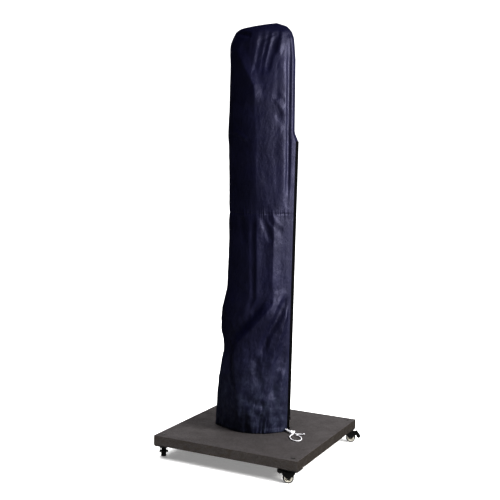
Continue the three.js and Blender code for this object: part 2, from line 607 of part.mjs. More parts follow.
// ---------------------------------------------------------------- drawcord and its lock
const LYING = SLAB_TOP + GAP + CORD.r;
const LOCK_Z = SLAB_TOP + GAP + LOCK.high / 2;
const lockPoint = (along, across, z) => {
  const [c, s] = [Math.cos(LOCK.turn), Math.sin(LOCK.turn)];
  return [LOCK.x + along * c - across * s, LOCK.y + along * s + across * c, z];
};
const LONG_START = -49; // where each cord leaves the hem, measured from the lock
const SHORT_START = -47.5;
const LONG_CORD = [
  lockPoint(LONG_START, -LOCK.boreOff, LOCK_Z + 7),
  lockPoint(-26, -LOCK.boreOff, LOCK_Z + 1.5),
  lockPoint(-10, -LOCK.boreOff, LOCK_Z),
  lockPoint(10, -LOCK.boreOff, LOCK_Z),
  lockPoint(20, -LOCK.boreOff - 1, LYING + 1.5),
  [191, -152, LYING],
  [181, -172, LYING],
  [176, -196, LYING],
  [180, -224, LYING],
  [191, -250, LYING],
  [208, -264, LYING],
  [226, -262, LYING],
  [238, -246, LYING],
  [242, -222, LYING],
  [240, -198, LYING],
  [232, -178, LYING],
  [220, -164, LYING],
];
const SHORT_CORD = [
  lockPoint(SHORT_START, LOCK.boreOff, LOCK_Z + 7),
  lockPoint(-26, LOCK.boreOff, LOCK_Z + 1.5),
  lockPoint(-10, LOCK.boreOff, LOCK_Z),
  lockPoint(10, LOCK.boreOff, LOCK_Z),
  lockPoint(20, LOCK.boreOff + 1, LYING + 1.5),
  [219, -138, LYING],
  [234, -138, LYING],
  [248, -141, LYING],
  [260, -146, LYING],
];

// A round tube along the route, with the knot at its free end as part of the same piece.
function cordTube(route, steps) {
  const curve = new THREE.CatmullRomCurve3(route.map((p) => new THREE.Vector3(...p)), false, "centripetal");
  const section = new THREE.Shape();
  for (let i = 0; i < 8; i++) {
    const angle = (i * Math.PI) / 4;
    const place = [CORD.r * Math.cos(angle), CORD.r * Math.sin(angle)];
    if (i) section.lineTo(...place);
    else section.moveTo(...place);
  }
  const body = new THREE.ExtrudeGeometry(section, { steps, extrudePath: curve, bevelEnabled: false });
  const [x, y] = route.at(-1);
  const knot = new THREE.SphereGeometry(CORD.knotR, 8, 6).translate(x, y, SLAB_TOP + GAP + CORD.knotR);
  return joined(body, knot);
}

function drawcord() {
  put(umbrella, "drawcord_long", cordTube(LONG_CORD, 34), MATERIAL.cord);
  put(umbrella, "drawcord_short", cordTube(SHORT_CORD, 14), MATERIAL.cord);

  const place = new THREE.Group();
  place.position.set(LOCK.x, LOCK.y, LOCK_Z);
  place.rotation.z = LOCK.turn;
  umbrella.add(place);
  const { long, deep, high, boreR, boreOff } = LOCK;
  const face = roundedRectangle(long, high, 5);
  for (const x of [-boreOff, boreOff]) face.holes.push(new THREE.Path().absarc(x, 0, boreR, 0, Math.PI * 2));
  const barrel = raised(face, -deep / 2, deep / 2, 4).rotateX(Math.PI / 2).rotateZ(Math.PI / 2);
  const pocket = rodAcross(3.9, long / 2 - 3.6, long / 2 + 1, 12);
  put(place, "cord_lock_body", cut(barrel, pocket), MATERIAL.cord);
  const stem = rodAcross(3.5, long / 2 - 0.4, long / 2 + 4, 12);
  const button = rodAcross(5.2, long / 2 + 3.4, long / 2 + 10, 14);
  put(place, "cord_lock_button", joined(stem, button), MATERIAL.cord);
}

slab();
casters();
swivelFoot();
mastAndSlider();
crank();
boomAndStays();
foldedCanopy();
cover();
zip();
drawcord();

export default model;
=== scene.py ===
"""A folded side-pole patio umbrella in its zipped cover, standing on a wheeled stone base."""

import json
import math
import random

import bpy
import numpy as np
from mathutils import Matrix, Vector, noise
from mathutils.bvhtree import BVHTree


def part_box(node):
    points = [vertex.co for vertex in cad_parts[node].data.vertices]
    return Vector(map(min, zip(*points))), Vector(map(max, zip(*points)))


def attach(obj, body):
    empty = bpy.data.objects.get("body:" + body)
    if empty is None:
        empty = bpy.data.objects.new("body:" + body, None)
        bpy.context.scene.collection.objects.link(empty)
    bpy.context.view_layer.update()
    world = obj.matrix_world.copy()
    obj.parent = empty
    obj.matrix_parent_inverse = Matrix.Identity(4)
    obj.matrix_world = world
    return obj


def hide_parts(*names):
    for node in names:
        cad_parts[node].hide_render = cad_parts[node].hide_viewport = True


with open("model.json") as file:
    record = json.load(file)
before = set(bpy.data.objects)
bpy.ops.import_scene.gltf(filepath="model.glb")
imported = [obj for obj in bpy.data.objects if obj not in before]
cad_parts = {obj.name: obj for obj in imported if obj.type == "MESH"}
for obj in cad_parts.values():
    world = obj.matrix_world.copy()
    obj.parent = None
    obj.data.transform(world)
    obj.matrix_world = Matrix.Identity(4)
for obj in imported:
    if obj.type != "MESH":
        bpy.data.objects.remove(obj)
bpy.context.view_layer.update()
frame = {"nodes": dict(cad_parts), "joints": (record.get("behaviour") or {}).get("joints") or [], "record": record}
node = frame["nodes"]
joint = {j["name"]: j for j in frame["joints"]}

# The umbrella stands turned on its base: "across" is its width and "back" runs away from its front.
ACROSS = Vector(joint["crank_turn"]["axis"]).normalized()
BACK = Vector((-ACROSS.y, ACROSS.x, 0))
UP = Vector((0, 0, 1))
SLAB_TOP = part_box("slab")[1].z
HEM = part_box("cover")[0].z
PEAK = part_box("cover")[1].z


def at(across, back, z):
    """A point given in the umbrella's own directions, in metres."""
    return ACROSS * across + BACK * back + UP * z


# ------------------------------------------------------------------ camera, lights and floor
CAMERA_AZIMUTH = math.radians(26.78)
CAMERA_ELEVATION = math.radians(5.17)
CAMERA_ROLL = math.radians(1.08)
CAMERA_PLACE = (2.1607, -4.4409, 1.6415)
CAMERA_LENS = 60.92
ROOM_LIGHT = 0.02
AIM_SHARE = 0.42  # how far up the object the area lights look
CEILING_POWER = 3.5
CEILING_SPREAD = math.radians(70)
FLOOR_SIDE = 200
FLOOR_GLOW = 0.22  # makes the floor as white as the room behind it


def camera():
    backward = Vector((
        math.sin(CAMERA_AZIMUTH) * math.cos(CAMERA_ELEVATION),
        -math.cos(CAMERA_AZIMUTH) * math.cos(CAMERA_ELEVATION),
        math.sin(CAMERA_ELEVATION),
    ))
    level = Vector((math.cos(CAMERA_AZIMUTH), math.sin(CAMERA_AZIMUTH), 0))
    over = backward.cross(level)
    right = level * math.cos(CAMERA_ROLL) + over * math.sin(CAMERA_ROLL)
    top = over * math.cos(CAMERA_ROLL) - level * math.sin(CAMERA_ROLL)
    data = bpy.data.cameras.new("camera")
    data.lens = CAMERA_LENS
    made = bpy.data.objects.new("camera", data)
    facing = Matrix((right, top, backward)).transposed().to_4x4()
    made.matrix_world = Matrix.Translation(CAMERA_PLACE) @ facing
    bpy.context.scene.collection.objects.link(made)
    bpy.context.scene.camera = made


def soft_light(name, bearing, elevation, distance, size, power, colour=(1, 1, 1)):
    """A square area light that looks near the middle of the object; bearing is from +X towards +Y."""
    aim = Vector((0, 0, PEAK * AIM_SHARE))
    a, e = math.radians(bearing), math.radians(elevation)
    out = Vector((math.cos(a) * math.cos(e), math.sin(a) * math.cos(e), math.sin(e)))
    data = bpy.data.lights.new(name, "AREA")
    data.shape = "SQUARE"
    data.size = size
    data.energy = power
    data.color = colour
    made = bpy.data.objects.new(name, data)
    made.location = aim + out * distance
    made.rotation_euler = out.to_track_quat("Z", "Y").to_euler()
    bpy.context.scene.collection.objects.link(made)


def studio():
    """A white studio: room and floor look white, but most light comes from above and one side."""
    world = bpy.data.worlds.new("studio")
    world.use_nodes = True
    tree = world.node_tree
    background = tree.nodes["Background"]
    background.inputs["Color"].default_value = (1, 1, 1, 1)
    seen = tree.nodes.new("ShaderNodeLightPath").outputs["Is Camera Ray"]
    dim = tree.nodes.new("ShaderNodeMapRange")
    dim.inputs["To Min"].default_value = ROOM_LIGHT
    tree.links.new(seen, dim.inputs["Value"])
    tree.links.new(dim.outputs[0], background.inputs["Strength"])
    bpy.context.scene.world = world
    bpy.context.scene.view_settings.view_transform = "Standard"
    bpy.context.scene.view_settings.look = "High Contrast"

    ceiling = bpy.data.lights.new("ceiling", "SUN")
    ceiling.energy = CEILING_POWER
    ceiling.angle = CEILING_SPREAD
    overhead = bpy.data.objects.new("ceiling", ceiling)
    overhead.visible_glossy = False
    bpy.context.scene.collection.objects.link(overhead)
    soft_light("side", -2, 20, 4.6, 1.8, 300, (1, 0.985, 0.96))
    soft_light("behind", 125, 25, 5.0, 2.5, 40)

    bpy.ops.mesh.primitive_plane_add(size=FLOOR_SIDE)
    floor = bpy.context.object
    floor.name = "floor"
    floor.visible_glossy = False
    paint = Shader("studio_floor", (0.88, 0.88, 0.88), 0.8)
    paint.set("Specular IOR Level", 0.0)
    paint.set("Emission Color", (1, 1, 1, 1))
    paint.set("Emission Strength", FLOOR_GLOW)
    floor.data.materials.append(paint.material)


# ------------------------------------------------------------------ materials
class Shader:
    """A Principled material, with short calls for the textures that feed it."""

    def __init__(self, name, colour, roughness, metallic=0.0):
        self.material = bpy.data.materials.new(name)
        self.material.use_nodes = True
        self.tree = self.material.node_tree
        self.surface = self.tree.nodes["Principled BSDF"]
        self.set("Base Color", (*colour, 1))
        self.set("Roughness", roughness)
        self.set("Metallic", metallic)
        self.normal = None

    def set(self, socket, value):
        if isinstance(value, bpy.types.NodeSocket):
            self.tree.links.new(value, self.surface.inputs[socket])
        else:
            self.surface.inputs[socket].default_value = value

    def node(self, kind, inputs=(), **settings):
        made = self.tree.nodes.new("ShaderNode" + kind)
        for key, value in settings.items():
            setattr(made, key, value)
        for key, value in dict(inputs).items():
            if isinstance(value, bpy.types.NodeSocket):
                self.tree.links.new(value, made.inputs[key])
            else:
                made.inputs[key].default_value = value
        return made

    def place(self, scale=(1, 1, 1), kind="Object"):
        source = self.node("TexCoord").outputs[kind]
        return self.node("Mapping", {"Vector": source, "Scale": scale}).outputs[0]

    def noise(self, scale, detail, roughness, vector=None):
        inputs = {"Scale": scale, "Detail": detail, "Roughness": roughness}
        return self.node("TexNoise", {**inputs, "Vector": vector or self.place()}).outputs["Fac"]

    def cells(self, scale, output="Distance"):
        return self.node("TexVoronoi", {"Scale": scale, "Vector": self.place()}).outputs[output]

    def math(self, operation, a, b=0.0):
        return self.node("Math", {0: a, 1: b}, operation=operation).outputs[0]

    def remap(self, value, low, high, to_low=0.0, to_high=1.0):
        """A smooth step between two values as the input goes from low to high."""
        inputs = {"Value": value, "From Min": low, "From Max": high, "To Min": to_low, "To Max": to_high}
        return self.node("MapRange", inputs, interpolation_type="SMOOTHSTEP").outputs[0]

    def mix(self, amount, a, b):
        made = self.node("Mix", data_type="RGBA")
        for socket, value in ((made.inputs[0], amount), (made.inputs[6], a), (made.inputs[7], b)):
            if isinstance(value, bpy.types.NodeSocket):
                self.tree.links.new(value, socket)
            else:
                socket.default_value = (*value, 1) if isinstance(value, tuple) else value
        return made.outputs[2]

    def bump(self, height, distance, strength=1.0):
        inputs = {"Height": height, "Distance": distance, "Strength": strength}
        if self.normal:
            inputs["Normal"] = self.normal
        self.normal = self.node("Bump", inputs).outputs[0]
        self.set("Normal", self.normal)

    def facing_up(self):
        """1 where the surface looks straight up, 0 on an upright side."""
        normal = self.node("NewGeometry").outputs["Normal"]
        split = self.node("SeparateXYZ", {0: normal}).outputs["Z"]
        return self.math("MAXIMUM", split, 0.0)


def stone():
    """Dark granite: fine grains, a few pale flecks, saw streaks on top and rougher split sides.

    The side that faces +X carries painted shade, darker by its direction, and the top is darkened by a fixed share
    as painted shade.
    """
    s = Shader("granite", (0.1, 0.095, 0.097), 0.85)
    up = s.remap(s.facing_up(), 0.5, 0.95)
    grain = s.cells(420, "Color")
    grey = s.node("SeparateColor", {0: grain}).outputs[0]
    mottle = s.noise(9, 5, 0.6)
    streaks = s.noise(16, 4, 0.65, s.place((1.0, 9.0, 1.0)))
    dark, pale = (0.042, 0.038, 0.039), (0.108, 0.1, 0.1)
    tone = s.mix(s.remap(grey, 0.15, 0.95, 0.0, 0.62), dark, pale)
    tone = s.mix(s.remap(mottle, 0.35, 0.7, 0.0, 0.35), tone, (0.088, 0.081, 0.083))
    tone = s.mix(s.math("MULTIPLY", up, s.remap(streaks, 0.52, 0.72, 0.0, 0.4)), tone, (0.105, 0.1, 0.103))
    fleck = s.cells(210, "Distance")
    tone = s.mix(s.remap(fleck, 0.05, 0.11, 0.45, 0.0), tone, (0.2, 0.188, 0.18))
    rust = s.noise(34, 3, 0.5, s.place((1.0, 1.0, 2.0)))
    side = s.math("SUBTRACT", 1.0, up)
    tone = s.mix(s.math("MULTIPLY", side, s.remap(rust, 0.4, 0.75, 0.25, 0.75)), tone, (0.05, 0.04, 0.03))
    # Painted shade: faces that look towards +X are darkened, by a share that wanders with noise.
    facing = s.node("SeparateXYZ", {0: s.node("NewGeometry").outputs["Normal"]}).outputs["X"]
    painted_side_shade = s.remap(s.noise(22, 4, 0.6), 0.3, 0.7, 0.62, 0.78)
    tone = s.mix(s.math("MULTIPLY", s.remap(facing, 0.5, 0.9), painted_side_shade), tone, (0.014, 0.0105, 0.0075))
    # Painted shade: the top is darkened by a fixed share.
    tone = s.mix(s.math("MULTIPLY", up, 0.17), tone, (0.0, 0.0, 0.0))
    s.set("Base Color", tone)
    s.set("Roughness", s.remap(mottle, 0.3, 0.75, 0.94, 0.74))
    s.set("Specular IOR Level", 0.35)
    s.bump(s.noise(60, 6, 0.7), 0.004, s.remap(side, 0, 1, 0.12, 0.85))
    s.bump(s.cells(300, "Distance"), 0.0012, s.remap(side, 0, 1, 0.25, 0.9))
    s.bump(streaks, 0.002, 0.12)
    return s.material


def coated_metal(name, colour, dust):
    """Powder coat: a faint orange peel, rubbed patches, and dust where it looks up."""
    s = Shader(name, colour, 0.42)
    rubbed = s.noise(38, 5, 0.62)
    settled = s.math("MULTIPLY", s.facing_up(), s.remap(s.noise(85, 5, 0.7), 0.38, 0.72, 0.0, dust))
    worn = tuple(c * 1.9 + 0.012 for c in colour)
    tone = s.mix(s.remap(rubbed, 0.5, 0.75, 0.0, 0.6), colour, worn)
    s.set("Base Color", s.mix(settled, tone, (0.16, 0.148, 0.13)))
    s.set("Roughness", s.remap(rubbed, 0.3, 0.75, 0.34, 0.6))
    s.set("Coat Weight", 0.12)
    s.set("Coat Roughness", 0.3)
    s.bump(s.noise(1100, 2, 0.5), 0.0002, 0.5)
    s.bump(s.noise(140, 3, 0.5), 0.0006, 0.15)
    return s.material


def plated_steel():
    """Zinc-plated fasteners: bright, cloudy and finely scratched."""
    s = Shader("zinc_plate", (0.68, 0.68, 0.69), 0.32, 1.0)
    cloud = s.noise(160, 4, 0.6)
    scratch = s.noise(900, 2, 0.5, s.place((1.0, 1.0, 0.06)))
    s.set("Base Color", s.mix(s.remap(cloud, 0.35, 0.7), (0.72, 0.72, 0.73), (0.5, 0.49, 0.47)))
    s.set("Roughness", s.remap(cloud, 0.3, 0.75, 0.22, 0.46))
    s.bump(scratch, 0.00015, 0.5)
    return s.material


def tread_rubber():
    """Hard black tread with floor dust on its running face and moulding grain."""
    s = Shader("tread_rubber", (0.018, 0.018, 0.019), 0.7)
    dust = s.noise(190, 5, 0.7)
    s.set("Base Color", s.mix(s.remap(dust, 0.48, 0.8, 0.0, 0.3), (0.01, 0.01, 0.011), (0.06, 0.056, 0.05)))
    s.set("Roughness", s.remap(dust, 0.3, 0.8, 0.58, 0.86))
    s.bump(s.noise(1500, 2, 0.5), 0.0002, 0.5)
    return s.material


def moulded(name, colour, roughness, speckle):
    """Injection-moulded plastic: fine spark-eroded grain, and colour that clouds a little."""
    s = Shader(name, colour, roughness)
    cloud = s.noise(55, 4, 0.6)
    darker = tuple(c * (1 - speckle) for c in colour)
    s.set("Base Color", s.mix(s.remap(cloud, 0.35, 0.75), colour, darker))
    s.set("Roughness", s.remap(cloud, 0.3, 0.7, roughness * 0.85, min(1.0, roughness * 1.2)))
    s.bump(s.cells(1900, "Distance"), 0.00012, 0.6)
    return s.material


def weave(s, pitch, strength):
    """A plain weave on the surface's own metres: one thread over, one under."""
    split = s.node("SeparateXYZ", {0: s.place(kind="UV")})
    turn = math.pi / pitch
    warp = s.math("SINE", s.math("MULTIPLY", split.outputs[0], turn))
    weft = s.math("SINE", s.math("MULTIPLY", split.outputs[1], turn))
    s.bump(s.math("MULTIPLY", warp, weft), pitch * 0.22, strength)
    return split.outputs[0], split.outputs[1]


def stitches(s, along, across, line, length=0.0042, thread=0.0011):
    """1 on a row of stitches that runs along one direction at a set place across it."""
    off = s.math("ABSOLUTE", s.math("SUBTRACT", across, line))
    on_line = s.math("LESS_THAN", off, thread / 2)
    step = s.math("FRACT", s.math("DIVIDE", along, length))
    return s.math("MULTIPLY", on_line, s.math("LESS_THAN", step, STITCH_SHARE))


STITCH_SHARE = 0.72  # how much of each stitch's length shows as thread
SEAM_Z = 1.415  # the cover's cross seam, above the floor
SEAM_STITCH = 0.004  # from the cross seam up to its row of stitches
HEM_BAND = 0.028
SEAM_IN = 0.036  # the upright seam beside the zip


def cover_cloth():
    """Coated navy polyester: fine weave, slubs, a satin sheen, a lighter bottom that is partly dust and partly
    painted light, and stitched seams.
    """
    s = Shader("navy_polyester", (0.0062, 0.0062, 0.024), 0.42)
    along, height = weave(s, 0.0008, 0.35)
    slub = s.noise(1.0, 4, 0.6, s.place((900, 16, 1), "UV"))
    pick = s.noise(1.0, 4, 0.6, s.place((14, 900, 1), "UV"))
    cloud = s.noise(5.5, 4, 0.6)
    tone = s.mix(s.remap(cloud, 0.3, 0.7), (0.005, 0.005, 0.019), (0.0078, 0.0078, 0.028))
    tone = s.mix(s.remap(slub, 0.5, 0.8, 0.0, 0.3), tone, (0.012, 0.012, 0.036))
    tone = s.mix(s.remap(pick, 0.5, 0.8, 0.0, 0.3), tone, (0.0032, 0.0032, 0.014))
    # Lighter towards the bottom: partly dust, partly painted light.
    low = s.remap(height, 0.0, 0.6, 1.0, 0.0)
    dust = s.math("MULTIPLY", low, s.remap(s.noise(26, 6, 0.7), 0.36, 0.72, 0.12, 0.6))
    tone = s.mix(dust, tone, (0.052, 0.063, 0.09))
    above_seam = SEAM_Z - HEM + SEAM_STITCH
    sewn = s.math("MAXIMUM", stitches(s, along, height, HEM_BAND), stitches(s, along, height, above_seam))
    sewn = s.math("MAXIMUM", sewn, stitches(s, height, along, SEAM_IN))
    tone = s.mix(s.math("MULTIPLY", sewn, 0.75), tone, (0.02, 0.021, 0.04))
    s.set("Base Color", tone)
    s.set("Roughness", s.remap(s.noise(18, 5, 0.65), 0.3, 0.7, 0.45, 0.58))
    s.set("Specular IOR Level", 0.5)
    s.set("Specular Tint", (0.76, 0.76, 1.0, 1))
    s.bump(s.noise(42, 5, 0.6), 0.0035, 0.3)
    s.bump(sewn, 0.0006, 0.8)
    return s.material


def canopy_cloth():
    """Solution-dyed taupe canopy cloth, duller and coarser than the cover."""
    s = Shader("canopy_polyester", (0.36, 0.31, 0.24), 0.85)
    weave(s, 0.0012, 0.5)
    slub = s.noise(1.0, 4, 0.6, s.place((500, 12, 1), "UV"))
    cloud = s.noise(8, 4, 0.6)
    tone = s.mix(s.remap(cloud, 0.3, 0.7), (0.33, 0.285, 0.22), (0.4, 0.35, 0.28))
    s.set("Base Color", s.mix(s.remap(slub, 0.5, 0.8, 0.0, 0.35), tone, (0.24, 0.2, 0.15)))
    s.set("Roughness", s.remap(cloud, 0.3, 0.7, 0.78, 0.92))
    s.set("Sheen Weight", 0.15)
    return s.material


def zip_cloth():
    """The zip's black ribbed tape."""
    s = Shader("zip_tape", (0.003, 0.003, 0.004), 0.9)
    s.set("Specular IOR Level", 0.15)
    weave(s, 0.0011, 0.7)
    worn = s.noise(60, 4, 0.6)
    tone = s.mix(s.remap(worn, 0.45, 0.8, 0.0, 0.5), (0.0025, 0.0025, 0.0035), (0.009, 0.009, 0.012))
    s.set("Base Color", tone)
    s.set("Roughness", s.remap(worn, 0.3, 0.7, 0.8, 0.95))
    return s.material


def braid():
    """White braided cord: two sets of strands that cross, darker in the hollows between them, and a little grubby
    in patches.
    """
    s = Shader("white_braid", (0.78, 0.78, 0.8), 0.75)
    split = s.node("SeparateXYZ", {0: s.place(kind="UV")})
    around = s.math("MULTIPLY", split.outputs[0], 8 * math.pi)
    along = s.math("MULTIPLY", split.outputs[1], 8 * math.pi / 0.016)
    one = s.math("SINE", s.math("ADD", around, along))
    other = s.math("SINE", s.math("SUBTRACT", around, along))
    strands = s.math("MULTIPLY", one, other)
    grime = s.remap(s.noise(90, 4, 0.6), 0.4, 0.75, 0.05, 0.35)
    # Darker in the hollows between the strands.
    tone = s.mix(s.remap(strands, -1, 0.6, 0.45, 0.0), (0.82, 0.82, 0.85), (0.42, 0.42, 0.46))
    s.set("Base Color", s.mix(grime, tone, (0.5, 0.49, 0.49)))
    s.set("Roughness", s.remap(strands, -1, 1, 0.85, 0.65))
    s.bump(strands, 0.0006, 0.8)
    return s.material


def finish_cad_nodes():
    paints = {
        "stone": stone(),
        "black_steel": coated_metal("black_powder_coat", (0.013, 0.013, 0.014), 0.3),
        "bright_steel": plated_steel(),
        "tread": tread_rubber(),
        "nylon": moulded("grey_nylon", (0.62, 0.6, 0.54), 0.4, 0.25),
        "black_plastic": moulded("black_plastic", (0.011, 0.011, 0.012), 0.48, 0.3),
        "grey_alloy": coated_metal("anthracite_powder_coat", (0.05, 0.052, 0.057), 0.15),
        "white_plastic": moulded("white_plastic", (0.74, 0.74, 0.76), 0.38, 0.12),
        "cord": braid(),
        "canopy_cloth": canopy_cloth(),
        "cover_cloth": cover_cloth(),
        "zip_tape": zip_cloth(),
    }
    for part in frame["record"]["subparts"]:
        mesh = node[part["node"]].data
        mesh.materials.clear()
        mesh.materials.append(paints[part["material_slot"]])
        mesh.shade_smooth()
        mesh.set_sharp_from_angle(angle=math.radians(32))
    return paints


# ------------------------------------------------------------------ meshes
def mesh_object(name, points, faces, paint, uv=None):
    """A smooth mesh; uv holds one (u, v) for each corner of each face, in metres."""
    mesh = bpy.data.meshes.new(name)
    mesh.from_pydata([tuple(p) for p in points], [], faces)
    if uv is not None:
        layer = mesh.uv_layers.new(name="metres")
        layer.data.foreach_set("uv", np.asarray(uv, np.float32).ravel())
    mesh.materials.append(paint)
    mesh.shade_smooth()
    made = bpy.data.objects.new(name, mesh)
    bpy.context.scene.collection.objects.link(made)
    return made


def belongs(piece, body, slot, *replaced):
    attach(piece, body)
    if replaced:
        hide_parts(*replaced)
    return piece


def grid_faces(rows, columns, closed):
    """Quads of a grid of points, row by row; a closed grid's last column meets its first."""
    count = columns if closed else columns - 1
    faces, corners = [], []
    for j in range(rows - 1):
        for i in range(count):
            n = (i + 1) % columns
            faces.append((j * columns + i, j * columns + n, (j + 1) * columns + n, (j + 1) * columns + i))
            corners.append(((j, i), (j, i + 1), (j + 1, i + 1), (j + 1, i)))
    return faces, corners


# ------------------------------------------------------------------ drawcord
CORD_R = 0.0031
CORD_GAP = 0.0003
LYING = SLAB_TOP + CORD_GAP + CORD_R
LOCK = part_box("cord_lock_body")
LOCK_PLACE = (LOCK[0] + LOCK[1]) / 2
LOCK_TURN = math.radians(-49)
BORE_OFF = 0.005
CORD_SPACING = 0.002
KNOT_STEPS = 72
KNOT_LOBE = 0.0015
KNOT_RISE = 0.0017
KNOT_STRETCH = 1.1
KNOT_THINNING = 0.72
KNOT_HEIGHT = 0.0063


def lock_point(along, across, z):
    """A point in the cord lock's own directions, as (across, back, z) of the umbrella."""
    x, y = LOCK_PLACE.dot(ACROSS), LOCK_PLACE.dot(BACK)
    c, s = math.cos(LOCK_TURN), math.sin(LOCK_TURN)
    return (x + along * c - across * s, y + along * s + across * c, z)


LONG_CORD = [
    lock_point(-0.049, -BORE_OFF, LOCK_PLACE.z + 0.007),
    lock_point(-0.026, -BORE_OFF, LOCK_PLACE.z + 0.0015),
    lock_point(-0.010, -BORE_OFF, LOCK_PLACE.z),
    lock_point(0.010, -BORE_OFF, LOCK_PLACE.z),
    lock_point(0.020, -BORE_OFF - 0.001, LYING + 0.0015),
    (0.191, -0.152, LYING),
    (0.181, -0.172, LYING),
    (0.176, -0.196, LYING),
    (0.180, -0.224, LYING),
    (0.191, -0.250, LYING),
    (0.208, -0.264, LYING),
    (0.226, -0.262, LYING),
    (0.238, -0.246, LYING),
    (0.242, -0.222, LYING),
    (0.240, -0.198, LYING),
    (0.232, -0.178, LYING),
    (0.220, -0.164, LYING),
]
SHORT_CORD = [
    lock_point(-0.0475, BORE_OFF, LOCK_PLACE.z + 0.007),
    lock_point(-0.026, BORE_OFF, LOCK_PLACE.z + 0.0015),
    lock_point(-0.010, BORE_OFF, LOCK_PLACE.z),
    lock_point(0.010, BORE_OFF, LOCK_PLACE.z),
    lock_point(0.020, BORE_OFF + 0.001, LYING + 0.0015),
    (0.219, -0.138, LYING),
    (0.234, -0.138, LYING),
    (0.248, -0.141, LYING),
    (0.260, -0.146, LYING),
]


def smooth_line(points, spacing):
    """Points of a centripetal Catmull-Rom curve through the given ones, evenly apart."""
    p = [np.array(q, float) for q in points]
    p = [2 * p[0] - p[1], *p, 2 * p[-1] - p[-2]]
    line = []
    for a, b, c, d in zip(p, p[1:], p[2:], p[3:]):
        t = np.cumsum([0, *(np.linalg.norm(y - x) ** 0.5 for x, y in ((a, b), (b, c), (c, d)))])
        for w in np.linspace(t[1], t[2], 24, endpoint=False):
            mix = lambda x, y, i, j: x + (y - x) * (w - t[i]) / (t[j] - t[i])
            low, mid, high = mix(a, b, 0, 1), mix(b, c, 1, 2), mix(c, d, 2, 3)
            line.append(mix(mix(low, mid, 0, 2), mix(mid, high, 1, 3), 1, 2))
    line.append(p[-2])
    line = np.array(line)
    run = np.concatenate([[0], np.cumsum(np.linalg.norm(np.diff(line, axis=0), axis=1))])
    even = np.linspace(0, run[-1], max(2, round(run[-1] / spacing) + 1))
    return np.stack([np.interp(even, run, line[:, k]) for k in range(3)], 1), float(run[-1])


def tube(name, line, radius, paint, sides=14):
    """A round tube along a line of points, with its ends closed."""
    points, rows = [], len(line)
    run = np.concatenate([[0], np.cumsum(np.linalg.norm(np.diff(line, axis=0), axis=1))])
    for k in range(rows):
        along = Vector(line[min(k + 1, rows - 1)] - line[max(k - 1, 0)]).normalized()
        side = along.cross(UP).normalized()
        over = side.cross(along)
        for i in range(sides):
            a = 2 * math.pi * i / sides
            points.append(Vector(line[k]) + side * math.cos(a) * radius + over * math.sin(a) * radius)
    faces, corners = grid_faces(rows, sides, True)
    uv = [(i / sides, run[j]) for face in corners for j, i in face]
    for ring in (range(sides - 1, -1, -1), range((rows - 1) * sides, rows * sides)):
        faces.append(tuple(ring))
        uv += [(0, 0)] * sides
    return mesh_object(name, points, faces, paint, uv)


def knot(name, centre, heading, paint):
    """An overhand knot pulled tight: three lobes of cord wound round the end of the line."""
    turns = []
    side = heading.cross(UP).normalized()
    for k in range(KNOT_STEPS + 1):
        a = 2 * math.pi * k / KNOT_STEPS
        x = (math.sin(a) + 2 * math.sin(2 * a)) * KNOT_LOBE
        y = (math.cos(a) - 2 * math.cos(2 * a)) * KNOT_LOBE
        z = -math.sin(3 * a) * KNOT_RISE
        turns.append(np.array(centre + heading * x * KNOT_STRETCH + side * y + UP * z))
    return tube(name, np.array(turns), CORD_R * KNOT_THINNING, paint, 10)


def drawcord(paints):
    for name, route in (("drawcord_long", LONG_CORD), ("drawcord_short", SHORT_CORD)):
        path, long = smooth_line([at(*p) for p in route], CORD_SPACING)
        piece = belongs(tube(name + "_braid", path, CORD_R, paints["cord"]), "cover", "cord", name)
        heading = Vector(path[-1] - path[-4]).normalized()
        end = Vector(path[-1])
        end.z = SLAB_TOP + KNOT_HEIGHT
        tie = belongs(knot(name + "_knot", end, heading, paints["cord"]), "cover", "cord")
        tuple(path[0])
        [tuple(p) for p in path]


# ------------------------------------------------------------------ cover
CREASE_R = 0.007
EDGE_R = 0.0025
EDGE_HEIGHT = 0.0085  # folds higher than this keep a creased edge
HEM_ABOVE_SLAB = 0.0008
GRID_AROUND = 330
GRID_UP = 430
CAP_ROWS = 46
CAP_START = PEAK - 0.14
CRISP_FROM = PEAK - 0.2  # above this the cloth keeps its shoulders
AXIS = (-0.012, 0.006)
ZIP_ACROSS = 0.178
ZIP_BACK = -0.062
GRID_START = math.atan2(ZIP_BACK, 0.19)
LOOSE_FOLDS = 34
LOOSE_SEED = 7
CLOTH_THICK = 0.0009

# How far each wave, seam and hem moves the cloth, and how wide it is, in metres.
WAVE = 0.004
CRUMPLE = 0.0026
LOOSE_WAVE = 0.0035
PUCKER = 0.0045
PUCKER_REACH = 0.02
SEAM_GROOVE = 0.0028
SIDE_SEAM_GROOVE = 0.0022
SIDE_SEAM_WIDTH = 0.0035
HEM_ROLL = 0.0016
HEM_GROOVE = 0.0012
GATHER = 0.004
GATHER_REACH = 0.045
PUSH_IN = -0.024
PUSH_OUT = 0.032

